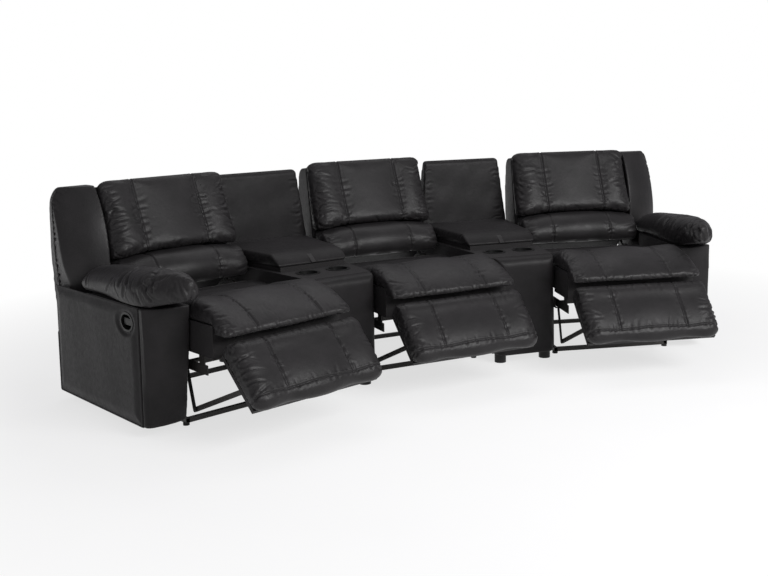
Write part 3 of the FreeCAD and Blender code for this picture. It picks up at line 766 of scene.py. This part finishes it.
def make_seat(form, side, seed):
    rng = np.random.default_rng(seed)
    place = recliners[side]
    piece = copied(form, "seat_cushion_cover_" + side)
    folds = []
    for sign in (-1, 1):
        folds += edge_folds(rng, 9, lambda t: ((sign * 0.328, -0.26 + 0.66 * t, 0.555), (-sign, 0, 0),
                                               (0, 1, 0)), (0.03, 0.09), 0.9)
        folds += edge_folds(rng, 4, lambda t: ((sign * 0.328, -0.31, 0.53 - 0.07 * t), (-sign, 0, 0),
                                               (0, 0, 1)), (0.03, 0.08), 0.5)
        folds += edge_folds(rng, 7, lambda t: ((sign * SEAM_U, -0.28 + 0.5 * t, 0.57), either(rng),
                                               (0, 1, 0)),
                            (0.012, 0.035), 0.5, deep=0.55)
    folds += edge_folds(rng, 12, lambda t: ((-0.31 + 0.62 * t, -0.315, 0.45), (0, 0, 1), (1, 0, 0)),
                        (0.02, 0.055), 0.35, deep=0.8)
    creased(piece, folds)
    crumpled(piece, lambda co, out: fade(np.abs(co[:, 0]), 0.24, 0.32) * fade(out[:, 2], -0.5, 0.1),
             seed, 0.0026, 0.06, (2.2, 0.8, 0.8))
    crumpled(piece, lambda co, out: fade(-co[:, 1], 0.1, 0.3) * fade(out[:, 2], -0.5, 0.1),
             seed + 40, 0.001, 0.07, (0.8, 1.8, 1.8))
    channelled(piece, to_seam, SEAM_WIDTH, SEAM_DEPTH,
               lambda co, out: fade(out[:, 2], -0.75, -0.45))
    guide = [(0.45 - 0.72 * n / 70, 0.60) for n in range(71)]
    guide += [(-0.30, 0.58), (-0.325, 0.55), (-0.335, 0.52), (-0.335, 0.49), (-0.33, 0.46)]
    thread = rows(guide)
    stitches("seat_cushion_thread_" + side, piece, thread, place, "seat_" + side)
    return finished(piece, place, "seat_" + side, LEATHER, ["seat_cushion_" + side])


def make_footrest(form, side, seed):
    rng = np.random.default_rng(seed)
    place = recliners[side]
    body = "footrest_" + side
    piece = copied(form, "footrest_cover_" + side)
    folds = []
    inner = (0, math.cos(PAD_SLOPE), math.sin(PAD_SLOPE))
    for sign in (-1, 1):
        folds += edge_folds(rng, 8, lambda t: (from_slope(sign * 0.328, 0.02 + 0.27 * t, -0.012),
                                               (-sign, 0, 0), inner), (0.03, 0.1), 0.6, deep=1.2)
        folds += edge_folds(rng, 5, lambda t: (from_slope(sign * SEAM_U, 0.03 + 0.21 * t, 0.0),
                                               either(rng), inner),
                            (0.012, 0.035), 0.5, deep=0.55)
    folds += edge_folds(rng, 12, lambda t: (from_slope(-0.31 + 0.62 * t, END_SEAM, 0.0), inner, (1, 0, 0)),
                        (0.015, 0.05), 0.4, deep=0.7)
    folds += edge_folds(rng, 10, lambda t: (from_slope(-0.31 + 0.62 * t, 0.03, 0.0),
                                            tuple(-x for x in inner), (1, 0, 0)),
                        (0.015, 0.05), 0.4, deep=0.7)
    creased(piece, folds)
    crumpled(piece, lambda co, out: fade(np.abs(co[:, 0]), 0.25, 0.32), seed, 0.0032, 0.055,
             (2.0, 0.8, 0.8))

    def above(co, out):
        tilt = out[:, 1] * -math.sin(PAD_SLOPE) + out[:, 2] * math.cos(PAD_SLOPE)
        return fade(tilt, -0.4, 0.0)

    channelled(piece, to_seam, SEAM_WIDTH, SEAM_DEPTH,
               lambda co, out: above(co, out) * fade(-on_slope(co)[0], -0.27, -END_SEAM))
    channelled(piece, lambda co: on_slope(co)[0] - END_SEAM, SEAM_WIDTH, 0.0045, above)
    guide = [from_slope(0, 0.01 + 0.245 * n / 30, 0.03)[1:] for n in range(31)]
    thread = rows(guide)
    thread.append([from_slope(-0.318 + 0.636 * n / 60, END_SEAM - 0.0065, 0.02) for n in range(61)])
    stitches("footrest_thread_" + side, piece, thread, place, body)
    return finished(piece, place, body, LEATHER, ["footrest_pad_" + side])


def make_pillow(form, side, seed):
    rng = np.random.default_rng(seed)
    place = recliners[side]
    body = "back_" + side
    piece = copied(form, "head_pillow_cover_" + side)
    if side != "middle":
        co = arrays(piece.data)
        co[:, 0] *= np.where(co[:, 0] > 0, 0.331 / 0.338, 1)
        put(piece.data, co)
    folds = []
    for sign in (-1, 1):
        folds += edge_folds(rng, 9, lambda t: ((sign * 0.338, 0.57 + 0.05 * t, 0.67 + 0.31 * t),
                                               (-sign, 0, 0), (0, 0, 1)), (0.04, 0.14), 0.45, deep=1.15)
        folds += edge_folds(rng, 7, lambda t: ((sign * SEAM_U, 0.55, 0.68 + 0.28 * t), either(rng),
                                               (0, 0, 1)),
                            (0.015, 0.045), 0.5, deep=0.6)
    folds += edge_folds(rng, 14, lambda t: ((-0.32 + 0.64 * t, 0.565, 0.655), (0, 0, 1), (1, 0, 0)),
                        (0.02, 0.06), 0.45, deep=0.75)
    creased(piece, folds)
    crumpled(piece, lambda co, out: np.maximum(fade(np.abs(co[:, 0]), 0.2, 0.33),
                                               0.8 * fade(-co[:, 2], -0.72, -0.65))
             * fade(-out[:, 1], -0.4, 0.1), seed, 0.0034, 0.07, (2.6, 0.8, 0.8))
    channelled(piece, to_seam, SEAM_WIDTH, SEAM_DEPTH,
               lambda co, out: fade(-out[:, 1], -0.7, -0.4))
    guide = [(0.53, 0.66 + 0.29 * n / 30) for n in range(31)]
    guide += [(0.55, 0.98), (0.58, 1.01), (0.61, 1.02), (0.64, 1.02), (0.67, 1.02), (0.70, 1.02)]
    stitches("head_pillow_thread_" + side, piece, rows(guide), place, body)
    return finished(piece, place, body, LEATHER, ["head_pillow_" + side])


def make_lumbar(form, side, seed):
    rng = np.random.default_rng(seed)
    place = recliners[side]
    body = "back_" + side
    piece = copied(form, "lumbar_cover_" + side)
    folds = []
    for sign in (-1, 1):
        folds += edge_folds(rng, 5, lambda t: ((sign * 0.328, 0.48, 0.51 + 0.14 * t), (-sign, 0, 0),
                                               (0, 0, 1)), (0.04, 0.12), 0.5)
        folds += edge_folds(rng, 4, lambda t: ((sign * SEAM_U, 0.46, 0.52 + 0.12 * t), either(rng),
                                               (0, 0, 1)),
                            (0.015, 0.04), 0.5, deep=0.6)
    creased(piece, folds)
    crumpled(piece, lambda co, out: fade(np.abs(co[:, 0]), 0.2, 0.32), seed, 0.0025, 0.07,
             (2.4, 0.8, 0.8))
    channelled(piece, to_seam, SEAM_WIDTH, SEAM_DEPTH,
               lambda co, out: fade(-out[:, 1], -0.6, -0.2))
    guide = [(0.44, 0.51 + 0.13 * n / 14) for n in range(15)]
    stitches("lumbar_thread_" + side, piece, rows(guide), place, body)
    return finished(piece, place, body, LEATHER, ["lumbar_cushion_" + side])


def make_shell(side):
    """The outside of the back: leather over a padded board, with a seam down each side."""
    place = recliners[side]
    piece = foam("back_shell_" + side, place, 0.0085, 5)
    piece.name = "back_shell_cover_" + side
    subdivided(piece)
    co, out = arrays(piece.data), normals(piece.data)
    crown = fade(out[:, 1], 0.5, 0.9) * np.cos(np.clip(co[:, 0] / 0.36, -1, 1) * math.pi / 2)
    sag = 0.0016 * noise(co, 4, 0.22) * fade(out[:, 1], 0.2, 0.7)
    put(piece.data, co + out * (0.005 * crown + sag)[:, None])
    channelled(piece, lambda co: np.abs(co[:, 0]) - 0.3, 0.006, 0.003,
               lambda co, out: fade(out[:, 1], 0.2, 0.6))
    guide = [(0.92, 0.38 + 0.57 * n / 60) for n in range(61)]
    stitches("back_shell_thread_" + side, piece, rows(guide, (-0.3, 0.3), 0.006)[1:3], place,
             "back_" + side)
    return finished(piece, place, "back_" + side, LEATHER_PANEL, ["back_shell_" + side])


def make_wing(form, side, seed):
    """The wing beside the back, puckered along the welted seam at its rear."""
    rng = np.random.default_rng(seed)
    place = recliners[side]
    body = "back_" + side
    piece = copied(form, "wing_cover_" + side)
    surface = BVHTree.FromObject(piece, bpy.context.evaluated_depsgraph_get())
    seam = []
    for n in range(60):
        z = 0.375 + 0.59 * n / 59
        hit = surface.ray_cast(Vector((0.7, 0.80, z)), Vector((-1, 0, 0)))
        if hit[0]:
            seam.append(np.array(hit[0]))
    folds = edge_folds(rng, 34, lambda t: (seam[int(t * (len(seam) - 1))], (0, -1, 0), (0, 0, 1)),
                       (0.015, 0.06), 0.45, deep=0.9, wide=0.8)
    creased(piece, folds)
    if len(seam) > 8:
        welt("wing_welt_" + side, np.array(seam) + (0.0005, 0, 0), 0.0035, place, body)
    return finished(piece, place, body, LEATHER, ["back_wing_" + side])


# the arms

def make_arm_pad(form, side, seed):
    rng = np.random.default_rng(seed)
    place = recliners[side]
    piece = copied(form, "arm_pad_cover_" + side)
    folds = []
    for n in range(9):
        v = -0.15 + 0.40 * (n + rng.uniform(0.0, 1.0)) / 9
        lean = rng.uniform(-0.10, 0.10)
        start_u, end_u = (0.53, rng.uniform(0.38, 0.45)) if n % 2 else (0.325, rng.uniform(0.40, 0.46))
        folds.append(Fold((start_u, v, 0.63), (end_u, v + lean, 0.70), rng.uniform(-0.012, 0.012),
                          rng.uniform(0.006, 0.011), rng.uniform(0.003, 0.0062)))
    for n in range(5):
        v = -0.10 + 0.62 * (n + rng.uniform(0.0, 1.0)) / 5
        folds.append(Fold((0.535, v, 0.575), (0.52, v + rng.uniform(-0.05, 0.05), 0.66),
                          rng.uniform(-0.01, 0.01), rng.uniform(0.005, 0.009), rng.uniform(0.002, 0.004)))
    for n in range(7):
        u = 0.335 + 0.18 * (n + rng.uniform(0.1, 0.9)) / 7
        folds.append(Fold((u, -0.19, 0.57), (u + rng.uniform(-0.03, 0.03), -0.14, 0.68),
                          0.0, rng.uniform(0.006, 0.01), rng.uniform(0.003, 0.005)))
    creased(piece, folds)
    crumpled(piece, lambda co, out: (0.25 + 0.75 * fade(-co[:, 1], -0.30, -0.02))
             * fade(out[:, 2], -0.6, -0.2),
             seed, 0.0045, 0.07, (1.8, 0.9, 1.2))
    return finished(piece, place, "sofa_frame", LEATHER, [])


def make_arm_front(side):
    place = recliners[side]
    piece = foam("arm_fronts", place, 0.0055, 3)
    piece.name = "arm_front_cover_" + side
    subdivided(piece)
    co, out = arrays(piece.data), normals(piece.data)
    put(piece.data, co + out * (0.0012 * noise(co, 9, 0.13) * fade(-out[:, 1], 0.0, 0.5))[:, None])
    return finished(piece, place, "sofa_frame", LEATHER_PANEL, [])


def make_arm_side(side):
    """Leather over a thin pad on the arm's outer side, cut out round the release cup."""
    place = recliners[side]
    face = 0.5152
    front, rear, bottom, top = 0.047, 0.801, 0.048, 0.539
    cup_v, cup_z, a, b = 0.139, 0.470, 0.0535, 0.0385
    nv, nz = 150, 100
    index = {}
    co, faces = [], []

    def corner(i, j):
        if (i, j) in index:
            return index[(i, j)]
        v = front + (rear - front) * i / nv
        z = bottom + (top - bottom) * j / nz
        r = math.hypot((v - cup_v) / a, (z - cup_z) / b)
        if 1e-6 < r < 1.16:
            v = cup_v + (v - cup_v) / r * max(r, 1.0)
            z = cup_z + (z - cup_z) / r * max(r, 1.0)
            r = max(r, 1.0)
        edge = min(v - front, rear - v, z - bottom, top - z)
        rise = 0.0085 * float(fade(edge, -0.004, 0.05))
        rise = min(rise, 0.0012 + 0.0075 * float(fade(r, 1.12, 1.7)))
        ripple = 0.0012 * math.sin(v * 17 + z * 9) * math.sin(z * 14 - v * 5) * float(fade(edge, 0, 0.06))
        index[(i, j)] = len(co)
        co.append((face + max(rise + ripple * float(fade(r, 1.2, 2)), 0.0006), v, z))
        return index[(i, j)]

    for i in range(nv):
        for j in range(nz):
            v = front + (rear - front) * (i + 0.5) / nv
            z = bottom + (top - bottom) * (j + 0.5) / nz
            if math.hypot((v - cup_v) / a, (z - cup_z) / b) > 1.0:
                faces.append([corner(i, j), corner(i + 1, j), corner(i + 1, j + 1), corner(i, j + 1)])
    piece = made("arm_side_" + side, co, faces)
    shell = piece.modifiers.new("shell", "SOLIDIFY")
    shell.thickness = 0.0005
    shell.offset = -1
    applied(piece)
    for name, line in (("low", [(face, front + (rear - front) * t / 40, bottom) for t in range(41)]),
                       ("rear", [(face, rear, bottom + (0.32 - bottom) * t / 30) for t in range(31)])):
        welt("arm_welt_%s_%s" % (name, side), line, 0.0032, place, "sofa_frame")
    return finished(piece, place, "sofa_frame", LEATHER_PANEL)


def make_arm_rear(side):
    """The cover across the back of the arm, below the place where the wing swings."""
    place = recliners[side]
    inner, outer, bottom, top = 0.334, 0.5135, 0.048, 0.300
    nu, nz = 36, 48
    co, faces = [], []
    for i in range(nu + 1):
        for j in range(nz + 1):
            u = inner + (outer - inner) * i / nu
            z = bottom + (top - bottom) * j / nz
            edge = min(u - inner, outer - u, z - bottom, top - z)
            rise = 0.0045 * float(fade(edge, -0.004, 0.04))
            ripple = 0.0008 * math.sin(u * 60 + z * 25) * float(fade(edge, 0, 0.04))
            co.append((u, 0.8034 + rise + ripple, z))
    for i in range(nu):
        for j in range(nz):
            a = i * (nz + 1) + j
            faces.append([a, a + 1, a + nz + 2, a + nz + 1])
    piece = made("arm_rear_" + side, co, faces)
    shell = piece.modifiers.new("shell", "SOLIDIFY")
    shell.thickness = 0.002
    shell.offset = -1
    applied(piece)
    return finished(piece, place, "sofa_frame", LEATHER_PANEL)


# the consoles

def make_console_panel(node, side, bulge, seed):
    place = consoles[side]
    piece = foam(node, place, 0.0065, 4)
    subdivided(piece)
    co, out = arrays(piece.data), normals(piece.data)
    low, high = co.min(0), co.max(0)
    spread = (co - (low + high) / 2) / ((high - low) * 0.52)
    across, _, upward = np.cos(np.clip(spread, -1, 1) * math.pi / 2).T
    front = fade(-out[:, 1], 0.3, 0.8)
    rise = bulge * front * across * upward + 0.0011 * noise(co, seed, 0.16) * front
    put(piece.data, co + out * rise[:, None])
    return piece, place


def make_console_front(side):
    piece, place = make_console_panel("console_fronts", side, 0.003, 21)
    piece.name = "console_front_cover_" + side
    return finished(piece, place, "sofa_frame", LEATHER_PANEL, [])


def make_console_back(side, seed):
    rng = np.random.default_rng(seed)
    piece, place = make_console_panel("console_backs", side, 0.004, 22)
    piece.name = "console_back_cover_" + side
    folds = []
    for sign in (-1, 1):
        folds += edge_folds(rng, 6, lambda t: ((sign * 0.21, 0.70, 0.60 + 0.34 * t), (-sign, 0, 0),
                                               (0, 0, 1)), (0.02, 0.05), 0.4, deep=0.5)
    creased(piece, folds)
    return finished(piece, place, "sofa_frame", LEATHER_PANEL, [])


def make_lid(form, side, seed):
    rng = np.random.default_rng(seed)
    place = consoles[side]
    body = "lid_" + side
    piece = copied(form, "lid_cover_" + side)
    folds = []
    for sign in (-1, 1):
        folds += edge_folds(rng, 6, lambda t: ((sign * (0.20 + 0.06 * t), 0.22 + 0.4 * t, 0.60),
                                               (-sign, 0, 0), (0, 1, 0)), (0.02, 0.05), 0.6, deep=0.6)
    creased(piece, folds)
    surface = BVHTree.FromObject(piece, bpy.context.evaluated_depsgraph_get())
    tab = []
    for n in range(10):
        z = 0.601 - 0.034 * n / 9
        hit = surface.ray_cast(Vector((0, 0.0, z)), Vector((0, 1, 0)))
        tab.append((hit[0].y if hit[0] else 0.176) - 0.0012)
    co, faces = [], []
    for n in range(10):
        z = 0.601 - 0.034 * n / 9
        lift = 0.006 * (n / 9) ** 2
        for u in (-0.0115, -0.011, 0.011, 0.0115):
            co.append((u, tab[n] - lift, z))
    for n in range(9):
        for k in range(3):
            a = n * 4 + k
            faces.append([a, a + 1, a + 5, a + 4])
    strap = made("lid_tab_" + side, co, faces)
    thick = strap.modifiers.new("thick", "SOLIDIFY")
    thick.thickness = 0.0022
    thick.offset = 1
    applied(strap)
    subdivided(strap)
    finished(strap, place, body, LEATHER)
    return finished(piece, place, body, LEATHER_PANEL, ["lid_pad_" + side])


# studio and camera

def ground():
    material, tree, shader = node_material("pale_ground")
    shader.inputs["Roughness"].default_value = 0.9
    shader.inputs["Specular IOR Level"].default_value = 0.1
    coordinates = tree.nodes.new("ShaderNodeTexCoord").outputs["Object"]
    speck = texture(tree, "ShaderNodeTexNoise", 3, coordinates, 3)
    tint = ramp(tree, speck.outputs["Fac"], [(0.3, (0.86, 0.86, 0.865)), (0.7, (0.88, 0.88, 0.885))])
    tree.links.new(tint.outputs["Color"], shader.inputs["Base Color"])
    white = tree.nodes.new("ShaderNodeEmission")
    white.inputs["Strength"].default_value = 1.0
    length = tree.nodes.new("ShaderNodeVectorMath")
    length.operation = "LENGTH"
    tree.links.new(coordinates, length.inputs[0])
    far = tree.nodes.new("ShaderNodeMapRange")
    far.inputs["To Min"].default_value = 0.7
    far.inputs["From Min"].default_value = 1.9
    far.inputs["From Max"].default_value = 3.4
    tree.links.new(length.outputs["Value"], far.inputs["Value"])
    rays = tree.nodes.new("ShaderNodeLightPath")
    seen = tree.nodes.new("ShaderNodeMath")
    seen.operation = "MAXIMUM"
    tree.links.new(rays.outputs["Is Camera Ray"], seen.inputs[0])
    tree.links.new(rays.outputs["Is Glossy Ray"], seen.inputs[1])
    both = tree.nodes.new("ShaderNodeMath")
    both.operation = "MULTIPLY"
    tree.links.new(far.outputs["Result"], both.inputs[0])
    tree.links.new(seen.outputs["Value"], both.inputs[1])
    mix = tree.nodes.new("ShaderNodeMixShader")
    tree.links.new(both.outputs["Value"], mix.inputs["Fac"])
    tree.links.new(shader.outputs["BSDF"], mix.inputs[1])
    tree.links.new(white.outputs["Emission"], mix.inputs[2])
    output = tree.nodes["Material Output"]
    tree.links.new(mix.outputs["Shader"], output.inputs["Surface"])
    floor = made("floor", [(-14, -14, -0.0005), (14, -14, -0.0005), (14, 14, -0.0005), (-14, 14, -0.0005)],
                 [[0, 1, 2, 3]])
    floor.data.materials.append(material)


def surroundings():
    world = bpy.data.worlds.new("studio")
    scene.world = world
    world.use_nodes = True
    tree = world.node_tree
    soft = tree.nodes["Background"]
    soft.inputs["Color"].default_value = (0.97, 0.95, 1.0, 1)
    soft.inputs["Strength"].default_value = 0.32
    white = tree.nodes.new("ShaderNodeBackground")
    white.inputs["Color"].default_value = (1, 1, 1, 1)
    white.inputs["Strength"].default_value = 1.0
    rays = tree.nodes.new("ShaderNodeLightPath")
    seen = tree.nodes.new("ShaderNodeMath")
    seen.operation = "MAXIMUM"
    tree.links.new(rays.outputs["Is Camera Ray"], seen.inputs[0])
    tree.links.new(rays.outputs["Is Transmission Ray"], seen.inputs[1])
    mix = tree.nodes.new("ShaderNodeMixShader")
    tree.links.new(seen.outputs["Value"], mix.inputs["Fac"])
    tree.links.new(soft.outputs["Background"], mix.inputs[1])
    tree.links.new(white.outputs["Background"], mix.inputs[2])
    tree.links.new(mix.outputs["Shader"], tree.nodes["World Output"].inputs["Surface"])


def lamp(name, at, aim, size, power):
    light = bpy.data.lights.new(name, "AREA")
    light.shape = "RECTANGLE"
    light.size, light.size_y = size
    light.energy = power
    item = bpy.data.objects.new(name, light)
    item.location = at
    item.rotation_euler = (Vector(aim) - Vector(at)).to_track_quat("-Z", "Y").to_euler()
    scene.collection.objects.link(item)


def camera():
    lens = bpy.data.cameras.new("camera")
    lens.lens = 48.4504
    lens.sensor_width = 36
    lens.shift_x = 0.00053
    lens.shift_y = -0.12613
    item = bpy.data.objects.new("camera", lens)
    item.location = (-2.3349, recliners["middle"].origin[1] - 4.43272, 1.4323)
    item.rotation_euler = [math.radians(angle) for angle in (83.839, 1.288, -25.591)]
    scene.collection.objects.link(item)
    scene.camera = item


ground()
surroundings()
lamp("key", (1.3, -4.2, 2.9), (0, -0.3, 0.4), (3.0, 1.8), 210)
lamp("fill", (-3.6, -2.4, 2.6), (-0.3, 0, 0.5), (2.0, 2.0), 8)
lamp("top", (0.4, 1.2, 3.6), (0, 0, 0.6), (4.0, 1.6), 28)
camera()

seat, footrest, pillow, lumbar = seat_form(), footrest_form(), pillow_form(), lumbar_form()
sloped_nose(seat)
cleared(seat, 0.14, -0.010)
cleared(lumbar, 0.36, 0.005)
full_top(footrest)
arm_pad, wing, lid = arm_pad_form(), wing_form(), lid_form()
for number, side in enumerate(MODULES):
    make_seat(seat, side, 11 + number)
    make_footrest(footrest, side, 21 + number)
    make_pillow(pillow, side, 31 + number)
    make_lumbar(lumbar, side, 41 + number)
    make_shell(side)
for number, side in enumerate(("left", "right")):
    make_wing(wing, side, 51 + number)
    pads = make_arm_pad(arm_pad, side, 61 + number)
    fronts = make_arm_front(side)
    make_arm_side(side)
    make_arm_rear(side)
    panel = make_console_front(side)
    back = make_console_back(side, 71 + number)
    make_lid(lid, side, 81 + number)
    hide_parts("arm_pads")
    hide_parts("arm_fronts")
    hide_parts("console_fronts")
    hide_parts("console_backs")
for form in (seat, footrest, pillow, lumbar, arm_pad, wing, lid):
    bpy.data.objects.remove(form)

LOOKS = {
    "seat_box": LEATHER_PANEL, "seat_webbing": WEBBING, "seat_carriage": STEEL, "drive_links": STEEL,
    "push_links": STEEL, "footrest_board": LEATHER_PANEL, "back_plates": STEEL, "release_lever": PLASTIC,
    "base_frames": STEEL, "floor_glides": RUBBER, "back_posts": STEEL, "side_ties": STEEL,
    "arm_frames": LEATHER_PANEL, "release_cups": PLASTIC, "console_boxes": LEATHER_PANEL,
    "console_decks": LEATHER_PANEL, "cup_holders": PLASTIC, "console_feet": PLASTIC,
    "lid_base": LEATHER_PANEL,
}
for name, item in nodes.items():
    for prefix, material in LOOKS.items():
        if name.startswith(prefix):
            item.data.materials.clear()
            item.data.materials.append(material)

scene.view_settings.view_transform = "Standard"
